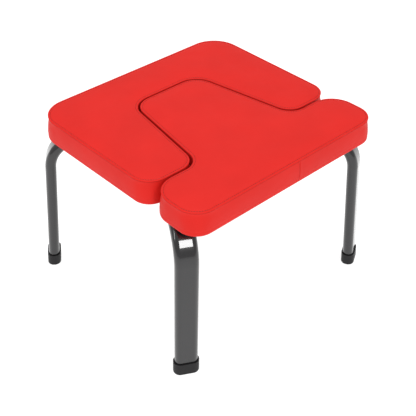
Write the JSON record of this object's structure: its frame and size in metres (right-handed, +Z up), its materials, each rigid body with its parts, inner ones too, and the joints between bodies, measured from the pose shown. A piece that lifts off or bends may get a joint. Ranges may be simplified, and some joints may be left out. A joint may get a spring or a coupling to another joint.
{
  "type": "yoga headstand bench",
  "caption": "Low four-legged padded bench: a U-shaped seat with a T-shaped insert that lifts out to open a neck gap for shoulder-supported headstands.",
  "frame": {"origin": "on the floor, below the centre of the bounding box", "axes": "+X along the insert's crossbar to the right, +Y from the crossbar to the seat's closed end, +Z up"},
  "size_m": [0.4736, 0.4305, 0.3385],
  "materials": {
    "grey_paint": "glossy dark grey powder paint",
    "black_rubber": "moulded rubber, satin",
    "red_leatherette": "smooth PVC leatherette, soft sheen",
    "black_nonwoven": "spunbond dust cover, matte",
    "plywood": "raw plywood",
    "foam": "open-cell upholstery foam",
    "black_nylon": "moulded nylon",
    "zinc_steel": "zinc plated"
  },
  "bodies": {
    "frame": {"left_side_tube": "grey_paint", "right_side_tube": "grey_paint", "rear_cross_tube": "grey_paint", "front_left_foot_cap": "black_rubber", "front_right_foot_cap": "black_rubber", "back_left_foot_cap": "black_rubber", "back_right_foot_cap": "black_rubber", "seat_top_panel": "red_leatherette", "seat_side_band": "red_leatherette", "seat_dust_cover": "black_nonwoven", "seat_staples": "zinc_steel", "seat_board": "plywood", "seat_foam": "foam", "seat_tee_nuts": "zinc_steel", "seat_washers": "zinc_steel", "seat_bolts": "zinc_steel"},
    "insert": {"insert_top_panel": "red_leatherette", "insert_side_band": "red_leatherette", "insert_dust_cover": "black_nonwoven", "insert_staples": "zinc_steel", "insert_board": "plywood", "insert_foam": "foam", "insert_pins": "black_nylon", "insert_pin_screws": "zinc_steel"}
  },
  "joints": [
    {"name": "insert_lift", "type": "slide", "parent": "frame", "child": "insert", "axis": [0, 0, 1], "range_m": [0, 0.08]}
  ]
}
